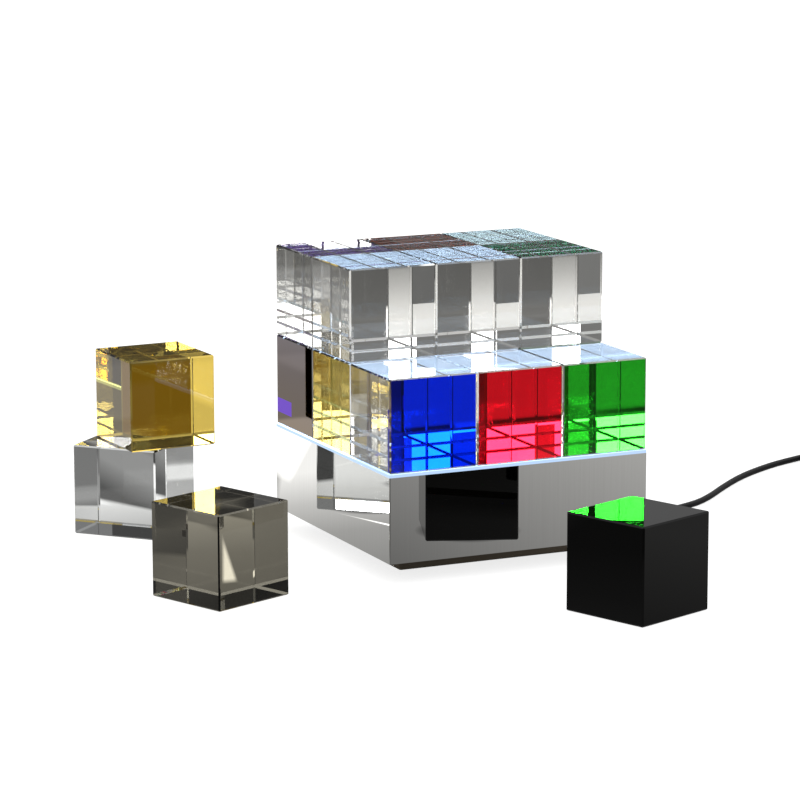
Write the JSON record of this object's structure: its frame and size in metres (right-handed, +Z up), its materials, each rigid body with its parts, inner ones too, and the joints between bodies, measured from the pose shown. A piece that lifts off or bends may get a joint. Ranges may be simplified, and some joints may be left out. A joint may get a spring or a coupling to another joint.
{
  "type": "glass cube table light",
  "caption": "Table light with a mirror-sided base and a glowing top plate that carries stacked loose glass cubes, coloured and clear, with spare cubes beside it.",
  "frame": {"origin": "centre of the foot pad's underside, on the surface that the light stands on", "axes": "+X to the right along the base's front face, +Y towards the back row of cubes, +Z up through the stack"},
  "size_m": [0.5525, 0.3483, 0.1592],
  "materials": {
    "pad_rubber": "matt, soft",
    "bronze_metal": "brushed, bronze-grey",
    "mirror_steel": "mirror polish on all four sides",
    "brass": "turned",
    "screw_steel": "zinc plated",
    "aluminium": "mill finish",
    "white_board": "white solder mask",
    "lamp_body": "lamp with a yellow phosphor",
    "white_plastic": "white, moulded",
    "opal_plastic": "opal, lit from below, cold white",
    "green_board": "green solder mask",
    "black_parts": "moulded",
    "red_wire": "smooth",
    "lead_skin": "soft black jacket",
    "soft_black": "soft moulding",
    "tie_strap": "soft strap",
    "plug_metal": "bright plated",
    "blue_glass": "polished, blue coating on the front face",
    "red_glass": "polished, red coating on the front face",
    "green_glass": "polished, green coating on the front face",
    "yellow_glass": "polished, yellow coating on the left face",
    "pale_glass": "polished, pale",
    "jade_glass": "polished, dark green coating underneath",
    "purple_glass": "polished, purple coating underneath",
    "brown_glass": "polished, red-brown coating underneath",
    "opal_glass": "polished, pale blue coating underneath",
    "clear_glass": "polished, clear",
    "grey_glass": "polished, grey",
    "amber_glass": "polished, amber",
    "smoke_glass": "polished, smoke grey",
    "black_glass": "polished, opaque black"
  },
  "bodies": {
    "base": {"foot_pad": "pad_rubber", "plinth": "bronze_metal", "mirror_skin": "mirror_steel", "nut_blocks": "brass", "base_screws": "screw_steel", "pillars": "aluminium", "deck": "aluminium", "deck_screws": "screw_steel", "lamp_board": "white_board", "lamps": "lamp_body", "lamp_socket": "white_plastic", "light_frame": "white_plastic", "diffuser": "opal_plastic", "driver_board": "green_board", "driver_spacers": "white_plastic", "driver_parts": "black_parts", "driver_wires": "red_wire", "inner_lead": "lead_skin", "lead_boot": "soft_black", "lead": "lead_skin", "lead_coil": "lead_skin", "coil_tie": "tie_strap", "plug_grip": "soft_black", "plug_shell": "plug_metal", "plug_tongue": "white_plastic"},
    "blue_cube": {"blue_cube": "blue_glass"},
    "red_cube": {"red_cube": "red_glass"},
    "green_cube": {"green_cube": "green_glass"},
    "yellow_cube": {"yellow_cube": "yellow_glass"},
    "pale_cube": {"pale_cube": "pale_glass"},
    "jade_cube": {"jade_cube": "jade_glass"},
    "purple_cube": {"purple_cube": "purple_glass"},
    "brown_cube": {"brown_cube": "brown_glass"},
    "opal_cube": {"opal_cube": "opal_glass"},
    "clear_left": {"clear_left": "clear_glass"},
    "clear_middle": {"clear_middle": "clear_glass"},
    "clear_right": {"clear_right": "clear_glass"},
    "clear_back_left": {"clear_back_left": "clear_glass"},
    "clear_back_middle": {"clear_back_middle": "clear_glass"},
    "clear_back_right": {"clear_back_right": "clear_glass"},
    "grey_cube": {"grey_cube": "grey_glass"},
    "amber_cube": {"amber_cube": "amber_glass"},
    "smoke_cube": {"smoke_cube": "smoke_glass"},
    "black_cube": {"black_cube": "black_glass"}
  },
  "joints": [
    {"name": "blue_cube_lift", "type": "slide", "parent": "base", "child": "blue_cube", "axis": [0, 0, 1], "range_m": [0, 0.06]},
    {"name": "red_cube_lift", "type": "slide", "parent": "base", "child": "red_cube", "axis": [0, 0, 1], "range_m": [0, 0.06]},
    {"name": "green_cube_lift", "type": "slide", "parent": "base", "child": "green_cube", "axis": [0, 0, 1], "range_m": [0, 0.06]},
    {"name": "yellow_cube_lift", "type": "slide", "parent": "base", "child": "yellow_cube", "axis": [0, 0, 1], "range_m": [0, 0.06]},
    {"name": "pale_cube_lift", "type": "slide", "parent": "base", "child": "pale_cube", "axis": [0, 0, 1], "range_m": [0, 0.06]},
    {"name": "jade_cube_lift", "type": "slide", "parent": "base", "child": "jade_cube", "axis": [0, 0, 1], "range_m": [0, 0.06]},
    {"name": "purple_cube_lift", "type": "slide", "parent": "base", "child": "purple_cube", "axis": [0, 0, 1], "range_m": [0, 0.06]},
    {"name": "brown_cube_lift", "type": "slide", "parent": "base", "child": "brown_cube", "axis": [0, 0, 1], "range_m": [0, 0.06]},
    {"name": "opal_cube_lift", "type": "slide", "parent": "base", "child": "opal_cube", "axis": [0, 0, 1], "range_m": [0, 0.06]},
    {"name": "clear_left_lift", "type": "slide", "parent": "yellow_cube", "child": "clear_left", "axis": [0, 0, 1], "range_m": [0, 0.06]},
    {"name": "clear_middle_lift", "type": "slide", "parent": "pale_cube", "child": "clear_middle", "axis": [0, 0, 1], "range_m": [0, 0.06]},
    {"name": "clear_right_lift", "type": "slide", "parent": "jade_cube", "child": "clear_right", "axis": [0, 0, 1], "range_m": [0, 0.06]},
    {"name": "clear_back_left_lift", "type": "slide", "parent": "purple_cube", "child": "clear_back_left", "axis": [0, 0, 1], "range_m": [0, 0.06]},
    {"name": "clear_back_middle_lift", "type": "slide", "parent": "brown_cube", "child": "clear_back_middle", "axis": [0, 0, 1], "range_m": [0, 0.06]},
    {"name": "clear_back_right_lift", "type": "slide", "parent": "opal_cube", "child": "clear_back_right", "axis": [0, 0, 1], "range_m": [0, 0.06]},
    {"name": "grey_cube_lift", "type": "slide", "parent": "base", "child": "grey_cube", "axis": [0, 0, 1], "range_m": [0, 0.06]},
    {"name": "amber_cube_lift", "type": "slide", "parent": "grey_cube", "child": "amber_cube", "axis": [0, 0, 1], "range_m": [0, 0.06]},
    {"name": "smoke_cube_lift", "type": "slide", "parent": "base", "child": "smoke_cube", "axis": [0, 0, 1], "range_m": [0, 0.06]},
    {"name": "black_cube_lift", "type": "slide", "parent": "base", "child": "black_cube", "axis": [0, 0, 1], "range_m": [0, 0.06]}
  ]
}
